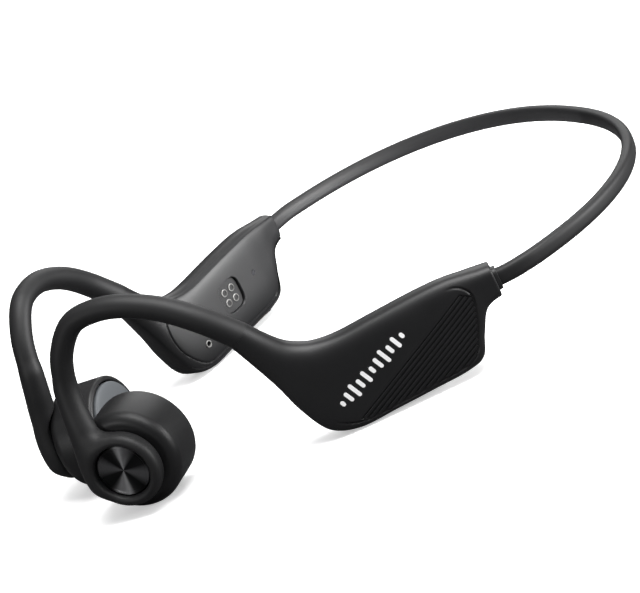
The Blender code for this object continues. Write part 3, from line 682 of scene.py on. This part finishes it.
def surface_net(field, low, step):
    """Points and quads of the zero surface of a sampled field: one point in each crossed cell."""
    cells = tuple(n - 1 for n in field.shape)
    total, hits = np.zeros((*cells, 3)), np.zeros(cells)
    edges = [crossed_edges(field, axis) for axis in range(3)]
    for axis, (index, place, _) in enumerate(edges):
        for back_one, back_two in ((0, 0), (0, 1), (1, 0), (1, 1)):
            key = cells_beside(index, axis, back_one, back_two)
            np.add.at(total, key, place)
            np.add.at(hits, key, 1)
    used = hits > 0
    number = np.full(cells, -1)
    number[used] = np.arange(used.sum())
    points = low + step * total[used] / hits[used][:, None]
    faces = []
    for axis, (index, _, inward) in enumerate(edges):
        quad = np.stack([number[cells_beside(index, axis, back_one, back_two)]
                         for back_one, back_two in ((1, 1), (0, 1), (0, 0), (1, 0))], -1)
        quad[~inward] = quad[~inward][:, ::-1]
        faces.append(quad)
    return points, np.vstack(faces)


def hook_field(low, shape, step):
    """Signed distance to the hook with its boss, less the button's recess and the pod's seat."""
    path, radii = hook_line()
    web = spline(pod_point(WEB_PATH), 8)
    web_radii = np.interp(np.linspace(0, 3, len(web)), range(4), WEB_RADII)
    field = union(tube_field(low, shape, step, path, radii),
                  tube_field(low, shape, step, web, web_radii), WEB_SOFTNESS)
    grid = grid_points(low, (0, 0, 0), shape, step)
    e, z, q = np.moveaxis((grid - POD_RIM) @ POD_AXES.T, -1, 0)
    r = np.hypot(e, z)
    boss = drum(r, q, BOSS_RADIUS, BOSS_BACK, BOSS_CREST, BOSS_ROUNDING)
    recess = drum(r, q, BUTTON_RADIUS + 0.3, BUTTON_BACK - 0.5, FAR, 0.2)
    seat = drum(r, q, POD_RADIUS + 0.2, -20.0, POD_DEPTH + 0.25, 2.2)
    field = union(field, boss, BOSS_SOFTNESS)
    field = cut(field, recess, RECESS_SOFTNESS)
    return cut(field, seat, SEAT_SOFTNESS)


def build_hook(name, side, net):
    points, faces = net
    hook = piece("ear_hook_" + name, points, faces.tolist(), SOFT_BLACK, side, sharp=70.0)
    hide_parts("ear_hook_skin_" + name)
    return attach(hook, name + "_side")


def hook_net():
    """The hook's points and faces, meshed once for both sides."""
    path, _ = hook_line()
    corners = pod_point(BOSS_CORNERS)
    low = np.minimum(path.min(axis=0), corners.min(axis=0)) - NET_MARGIN
    high = np.maximum(path.max(axis=0), corners.max(axis=0)) + NET_MARGIN
    shape = np.ceil((high - low) / NET_STEP).astype(int) + 1
    return surface_net(hook_field(low, shape, NET_STEP), low, NET_STEP)


# ------------------------------------------------------------------ pods

def build_pod_piece(label, name, side, profile, mat, body, node, segments=128):
    """A piece turned about the pod's axis that stands for one CAD node."""
    rings = pod_point(turned_rings(profile, segments))
    made = loft(label + "_" + name, rings, mat, side)
    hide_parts(node + "_" + name)
    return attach(made, body)


def build_pod(name, side):
    """The driver's round shell and the skin pad in its open end."""
    floor, neck = POD_DEPTH - 1.4, BOSS_BACK + 0.4
    shell = [(0.02, floor), (9.8, floor), (9.8, 0.55)] + arc((10.15, 0.35), 0.35, 180, 270, 4)
    shell += arc((POD_RADIUS - 0.8, 0.8), 0.8, -90, 0, 6)
    shell += arc((POD_RADIUS - 2.4, POD_DEPTH - 2.4), 2.4, 0, 90, 10)
    shell += [(7.0, POD_DEPTH), (6.6, POD_DEPTH + 0.2), (6.6, neck), (0.02, neck)]
    build_pod_piece("pod", name, side, shell, SHELL_BLACK, name + "_side", "pod_shell")
    pad = [(0.02, 0.6), (9.5, 0.6), (9.5, -0.05)] + arc((8.9, -0.05), 0.6, 0, -70, 6)
    pad += [(8.5, -0.72), (7.6, -0.84), (5.0, -0.89), (0.02, -PAD_PROUD)]
    build_pod_piece("pad", name, side, pad, PAD_GREY, name + "_transducer", "skin_pad")


def build_disc(name, side, node, body):
    """The spun metal face on a pod's outer end: its own axes let the shine follow its rings."""
    face = BUTTON_BACK + 0.9
    profile = [(0.02, BUTTON_BACK), (BUTTON_RADIUS, BUTTON_BACK), (BUTTON_RADIUS, face - 0.15)]
    profile += [(BUTTON_RADIUS - 0.12, face), (BUTTON_RADIUS - 0.45, face)]
    profile += [(BUTTON_RADIUS - 0.60, face - 0.12), (0.45, face - 0.22), (0.02, face - 0.22)]
    rings = np.array(turned_rings(profile, 128))
    disc = loft("outer_disc_" + name, rings, SPUN)
    mirror = MIRROR if side < 0 else 1
    out = POD_AXES[2] * mirror
    back = np.cross(UP, out)
    turn = Matrix(np.array((back, UP, out)).T.tolist()).to_4x4()
    turn.translation = Vector(POD_RIM * mirror * MM)
    disc.matrix_world = turn
    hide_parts(node)
    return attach(disc, body)


# ------------------------------------------------------------------ neckband

BAND_HIGH = np.array(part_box("band_skin")[1]) / MM
BAND_HALF_TALL, BAND_HALF_THICK, BAND_POWER = 1.82, 1.35, 3.0
BAND_HALF_WIDTH = BAND_HIGH[0] - BAND_HALF_THICK
BAND_BACK_Y = BAND_HIGH[1] - BAND_HALF_THICK
BAND_SHOULDER_Y = 20.4
BAND_SQUARENESS = 2.2
BAND_HEIGHT_AT_COLLAR, BAND_HEIGHT_AT_BACK, BAND_RISE_AT_SHOULDER = 16.4, 18.4, 0.3
BAND_STRAIGHT = (46.6, 47.9, 49.2)           # places along the housing's line, through the collar
BEND_START, BEND_END = np.array((8.0, 69.5, 18.4)), np.array((42.0, 60.0, 18.0))
COLLAR_AT, COLLAR_LENGTH, COLLAR_INSIDE, COLLAR_POWER = 48.0, 0.8, 0.6, 3.2


def band_line(count=90):
    """Centre line of the left half, from inside the collar to the middle of the back."""
    z = BAND_HEIGHT_AT_COLLAR
    shoulder_z = z + BAND_RISE_AT_SHOULDER
    line = [plate_point((a, 0.0, z)) for a in BAND_STRAIGHT]
    heading = PLATE_AXES[0]
    start, shoulder = line[-1], np.array((BAND_HALF_WIDTH, BAND_SHOULDER_Y, shoulder_z))
    reach = np.linalg.norm(shoulder - start) / 3
    a, b = start + heading * reach, shoulder - np.array((0, 1, 0)) * reach
    for t in np.linspace(0, 1, 12)[1:-1]:
        line.append(start * (1 - t) ** 3 + a * 3 * t * (1 - t) ** 2
                    + b * 3 * t * t * (1 - t) + shoulder * t ** 3)
    deep = BAND_BACK_Y - BAND_SHOULDER_Y
    for angle in np.linspace(0, math.pi / 2, count + 1):
        x = BAND_HALF_WIDTH * max(math.cos(angle), 0.0) ** (2 / BAND_SQUARENESS)
        rise = math.sin(angle) ** (2 / BAND_SQUARENESS)
        height = shoulder_z + (BAND_HEIGHT_AT_BACK - shoulder_z) * rise
        line.append(np.array((x, BAND_SHOULDER_Y + deep * rise, height)))
    return np.array(line)


def swept(path, outline, last_heading):
    """Rings of a (sideways, up) outline square to a nearly level path."""
    headings = np.gradient(path, axis=0)
    headings[-1] = last_heading
    rings = []
    for point, heading in zip(path, headings):
        heading = heading / np.linalg.norm(heading)
        sideways = np.cross(heading, UP)
        sideways = sideways / np.linalg.norm(sideways)
        rise = np.cross(sideways, heading)
        rings.append(point + outline[:, :1] * sideways + outline[:, 1:] * rise)
    return np.array(rings)


def build_band(name, side):
    """Half of the neckband, swept along its centre line from inside the collar to the middle of the
    back.
    """
    outline = superellipse(BAND_HALF_THICK, BAND_HALF_TALL, BAND_POWER, 48)
    rings = swept(band_line(), outline, (-1.0, 0.0, 0.0))
    band = loft("neckband_" + name, rings, SOFT_BLACK, side)
    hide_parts("band_skin", "band_wire", "band_cable")
    start, end = BEND_START * MM, BEND_END * MM
    if side < 0:
        start, end = start * MIRROR, end * MIRROR
    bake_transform(band)


def build_collar(name, side):
    """Stepped strain relief between the housing's flat end and the neckband."""
    front, end = COLLAR_AT - COLLAR_INSIDE, COLLAR_AT + COLLAR_LENGTH
    stations = ((front, 2.05, 2.50), (end - 0.2, 1.95, 2.40), (end - 0.05, 1.90, 2.35),
                (end, 1.80, 2.25), (end, 1.42, 1.90), (front, 1.42, 1.90))
    rings = []
    for a, half_wide, half_tall in stations:
        outline = superellipse(half_wide, half_tall, COLLAR_POWER, 48)
        rings.append([(a, u, BAND_HEIGHT_AT_COLLAR + v) for u, v in outline])
    collar = loft("collar_" + name, plate_point(rings), SHELL_BLACK, side, closed=True)
    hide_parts("band_collar_" + name)
    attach(collar, name + "_side")


# ------------------------------------------------------------------ ribs and printed mark

MARK_START, MARK_END = np.array((10.0, 7.0)), np.array((26.5, 15.0))
MARK_HEIGHTS = (1.3, 2.5, 3.5, 2.3, 3.1, 1.7, 2.7, 3.5, 2.1, 2.9, 1.3)
MARK_BAR_WIDTH = 0.85
MARK_SUNK, MARK_PROUD = -0.15, 0.04
RIB_CORNER, RIB_ROOT = 0.16, 0.2
RIB_FIRST = 0.62               # the first rib's middle, in pitches from the corner's edge
RIB_SPAN = 0.8                 # length of a rib between its sections


def face_height(tree, a, z):
    """How far out the smooth outer face is at (a, z)."""
    hit, _, _, _ = tree.ray_cast(Vector((a, 20.0, z)), Vector((0.0, -1.0, 0.0)))
    return hit.y


def outer_face_tree():
    """The smooth housing as a tree for finding the height of its outer face."""
    rings = SMOOTH_HOUSING[::4, ::2]
    return BVHTree.FromPolygons([Vector(p) for p in rings.reshape(-1, 3)],
                                loft_faces(len(rings), rings.shape[1]))


def crossings(start, heading, outline):
    """Distances along a line at which it crosses a closed outline."""
    across = np.array((-heading[1], heading[0]))
    offsets = (outline - start) @ across
    places = (outline - start) @ heading
    after = np.roll(offsets, -1), np.roll(places, -1)
    hit = (offsets < 0) != (after[0] < 0)
    t = offsets[hit] / (offsets[hit] - after[0][hit])
    return np.sort(places[hit] + t * (after[1][hit] - places[hit]))


def rib_section():
    """Round-cornered section of a rib as (across, height above the face)."""
    half, foot, corner = RIB_WIDTH / 2, -RIB_DEPTH - RIB_ROOT, RIB_CORNER
    crest = arc((half - corner, 0.01 - corner), corner, 0, 90, 4)
    crest += arc((-half + corner, 0.01 - corner), corner, 90, 180, 4)
    return [(half, foot)] + crest + [(-half, foot)]


def build_ribs(name, side, tree):
    """Parallel ribs in the sunk corner of the outer face, level with the face around it."""
    corner, outline = rib_corner(), rib_section()
    heading = (RIB_END - RIB_START) / np.linalg.norm(RIB_END - RIB_START)
    across = np.array((heading[1], -heading[0]))
    points, faces = [], []
    for index in range(RIB_COUNT):
        start = RIB_START + across * RIB_PITCH * (index + RIB_FIRST)
        ends = crossings(start, heading, corner)
        if len(ends) < 2 or ends[-1] - ends[0] < 3 * RIB_MARGIN:
            continue
        low, high = ends[0] + RIB_MARGIN, ends[-1] - RIB_MARGIN
        count = max(4, int((high - low) / RIB_SPAN))
        base = len(points)
        for place in np.linspace(low, high, count):
            for shift, rise in outline:
                a, z = start + heading * place + across * shift
                points.append((a, face_height(tree, a, z) + rise, z))
        faces += [[i + base for i in face] for face in loft_faces(count, len(outline))]
    ribs = piece("grip_ribs_" + name, plate_point(points), faces, SHELL_BLACK, side)
    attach(ribs, name + "_side")


def build_mark(tree):
    """Printed sound-level bars on the left housing's outer face, slightly raised like ink."""
    heading = (MARK_END - MARK_START) / np.linalg.norm(MARK_END - MARK_START)
    upright = np.array((-heading[1], heading[0]))
    points, faces = [], []
    for t, height in zip(np.linspace(0, 1, len(MARK_HEIGHTS)), MARK_HEIGHTS):
        centre = MARK_START + (MARK_END - MARK_START) * t
        radius, reach = MARK_BAR_WIDTH / 2, (height - MARK_BAR_WIDTH) / 2
        outline = [(r[0], r[1] + reach) for r in arc((0, 0), radius, 0, 180, 10)]
        outline += [(r[0], r[1] - reach) for r in arc((0, 0), radius, 180, 360, 10)]
        bar = [centre + heading * x + upright * y for x, y in outline]
        base = len(points)
        for rise in (MARK_SUNK, MARK_PROUD):
            points += [(a, face_height(tree, a, z) + rise, z) for a, z in bar]
        faces += [[i + base for i in face] for face in loft_faces(2, len(bar))]
    mark = piece("level_mark", plate_point(points), faces, MARK_WHITE)
    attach(mark, "left_side")


# ------------------------------------------------------------------ carried-over parts

def finish_cad_nodes():
    """Gives every CAD node that stays its own material by the record's slot."""
    looks = {
        "spring_metal": surface("bare_spring_metal", (0.55, 0.56, 0.58), 0.30, 1.0, (0.2, 0.002)),
        "magnet_nickel": surface("nickel_plate", (0.60, 0.60, 0.58), 0.20, 1.0, (0.2, 0.001)),
        "coil_copper": surface("enamelled_copper", (0.70, 0.30, 0.12), 0.35, 1.0, (0.1, 0.010)),
        "contact_gold": PIN_METAL,
        "cable_jacket": SOFT_BLACK,
        "seal_rubber": surface("seal_rubber", (0.02, 0.02, 0.022), 0.70, 0.0, (0.3, 0.010)),
        "board_green": surface("solder_mask", (0.02, 0.16, 0.07), 0.35, 0.0, (0.4, 0.005)),
        "chip_black": surface("chip_package", (0.03, 0.03, 0.032), 0.55, 0.0, (0.1, 0.004)),
        "cell_wrap": surface("cell_foil", (0.45, 0.46, 0.48), 0.35, 0.7, (0.8, 0.015)),
        "light_guide": LIGHT_GUIDE,
        "housing_plastic": SHELL_BLACK,
        "soft_black_silicone": SOFT_BLACK,
        "pad_silicone": PAD_GREY,
        "spun_metal": SPUN,
    }
    slots = {row["node"]: row["material_slot"] for row in frame["record"]["subparts"]}
    for node, obj in frame["nodes"].items():
        obj.data.materials.clear()
        obj.data.materials.append(looks[slots[node]])


# ------------------------------------------------------------------ stage

FLOOR_SIZE, FLOOR_GAP = 6.0, 0.0001          # the floor lies just under the pieces that rest on it
FLOOR_SEEN, FLOOR_LIT, FLOOR_GLOW = (0.92, 0.92, 0.92), (0.13, 0.13, 0.133), (0.42, 0.42, 0.42)
BACKDROP = (0.93, 0.93, 0.93)
BLACK = (0.0, 0.0, 0.0)

# Softboxes: place and target in metres, size in metres, power in watts, spread in degrees
SOFTBOXES = (
    ("overhead_softbox", (0.26, 0.12, 0.75), (0.0, 0.0, 0.0), (0.55, 0.55), 10.0, 180),
    ("back_softbox", (-0.65, 0.55, 0.42), (0.0, 0.0, 0.02), (0.6, 0.45), 2.2, 180),
    ("low_side_softbox", (0.50, 0.72, 0.14), (-0.04, 0.02, 0.01), (0.55, 0.22), 11.0, 180),
    ("front_softbox", (0.28, -0.80, 0.24), (0.0, 0.0, 0.02), (0.16, 0.16), 1.2, 180),
    ("inner_card", (0.012, 0.045, 0.012), (-0.058, 0.030, 0.016), (0.045, 0.018), 0.054, 110),
)
SKY_TOP, SKY_SIDE, SKY_STRENGTH = (1.0, 1.0, 1.0), (0.045, 0.045, 0.05), 0.60
SKY_LOW, SKY_HIGH = 0.15, 0.95

# Camera: lens in millimetres, place in metres, and its right, up and backward directions
CAMERA_LENS, SENSOR_WIDTH = 146.25, 36.0
CAMERA_PLACE = (0.50623, -0.18001, 0.18624)
CAMERA_AXES = ((0.4226, 0.803, -0.4203), (-0.1142, 0.5072, 0.8542), (0.8991, -0.313, 0.3061))


def camera_only(tree, seen, lit):
    """A colour that is `seen` by the camera and `lit` for all other rays."""
    path = add_node(tree, "LightPath", {})
    mix = add_node(tree, "Mix", {"A": lit, "B": seen, "Factor": path.outputs["Is Camera Ray"]},
                   data_type='RGBA')
    return mix.outputs["Result"]


def build_stage():
    """A pale floor. The camera sees it bright, but it sends only a little light back up."""
    mesh = bpy.data.meshes.new("floor")
    reach = FLOOR_SIZE / 2
    corners = [(-reach, -reach, 0), (reach, -reach, 0), (reach, reach, 0), (-reach, reach, 0)]
    mesh.from_pydata(corners, [], [(0, 1, 2, 3)])
    floor = bpy.data.objects.new("floor", mesh)
    floor.location.z = -FLOOR_GAP
    pale = surface("pale_floor", FLOOR_SEEN, 0.9, grain=(4.0, 0.0), mottle=0.0)
    tree = pale.node_tree
    shader = tree.nodes["Principled BSDF"]
    set_input(tree, shader, "Base Color", camera_only(tree, opaque(FLOOR_SEEN), opaque(FLOOR_LIT)))
    set_input(tree, shader, "Emission Color", camera_only(tree, opaque(FLOOR_GLOW), opaque(BLACK)))
    set_input(tree, shader, "Emission Strength", 1.0)
    set_input(tree, shader, "Specular IOR Level", 0.0)
    mesh.materials.append(pale)
    bpy.context.scene.collection.objects.link(floor)


def add_light(name, place, target, size, power, spread):
    data = bpy.data.lights.new(name, 'AREA')
    data.shape = 'RECTANGLE'
    data.size, data.size_y = size
    data.energy = power
    data.spread = math.radians(spread)
    obj = bpy.data.objects.new(name, data)
    obj.location = place
    aim = Vector(target) - Vector(place)
    obj.rotation_euler = aim.to_track_quat('-Z', 'Y').to_euler()
    obj.visible_camera = False
    bpy.context.scene.collection.objects.link(obj)


def build_world():
    """A pale room: bright overhead, dim at the sides, so that black plastic keeps its depth."""
    world = bpy.data.worlds.new("studio")
    world.use_nodes = True
    tree = world.node_tree
    place = add_node(tree, "TexCoord", {})
    split = add_node(tree, "SeparateXYZ", {"Vector": place.outputs["Generated"]})
    height = add_node(tree, "MapRange", {"From Min": SKY_LOW, "From Max": SKY_HIGH,
                                         "Value": split.outputs["Z"]},
                      interpolation_type='SMOOTHSTEP')
    sky = add_node(tree, "Mix", {"A": opaque(SKY_SIDE), "B": opaque(SKY_TOP),
                                 "Factor": height.outputs["Result"]}, data_type='RGBA')
    backdrop = opaque([c / SKY_STRENGTH for c in BACKDROP])
    shader = tree.nodes["Background"]
    set_input(tree, shader, "Color", camera_only(tree, backdrop, sky.outputs["Result"]))
    set_input(tree, shader, "Strength", SKY_STRENGTH)
    bpy.context.scene.world = world


def build_lights():
    for softbox in SOFTBOXES:
        add_light(*softbox)
    build_world()
    bpy.context.scene.view_settings.view_transform = 'Standard'


def build_camera():
    """A long lens from the left, a little in front and above, rolled about its line of sight."""
    data = bpy.data.cameras.new("camera")
    data.sensor_width = SENSOR_WIDTH
    data.lens = CAMERA_LENS
    camera = bpy.data.objects.new("camera", data)
    turn = Matrix(CAMERA_AXES).transposed().to_4x4()
    turn.translation = CAMERA_PLACE
    camera.matrix_world = turn
    bpy.context.scene.collection.objects.link(camera)
    bpy.context.scene.camera = camera


# ------------------------------------------------------------------ assembly

def build():
    finish_cad_nodes()
    net, tree = hook_net(), outer_face_tree()
    for name, side in SIDES:
        build_hook(name, side, net)
        build_housing(name, side)
        build_ribs(name, side, tree)
        build_pod(name, side)
        build_collar(name, side)
        build_band(name, side)
    build_disc("left", 1, "multi_function_button", "multi_function_button")
    build_disc("right", -1, "end_cap_right", "right_side")
    build_charge_port()
    build_microphone_ring()
    build_mark(tree)
    build_stage()
    build_lights()
    build_camera()


build()
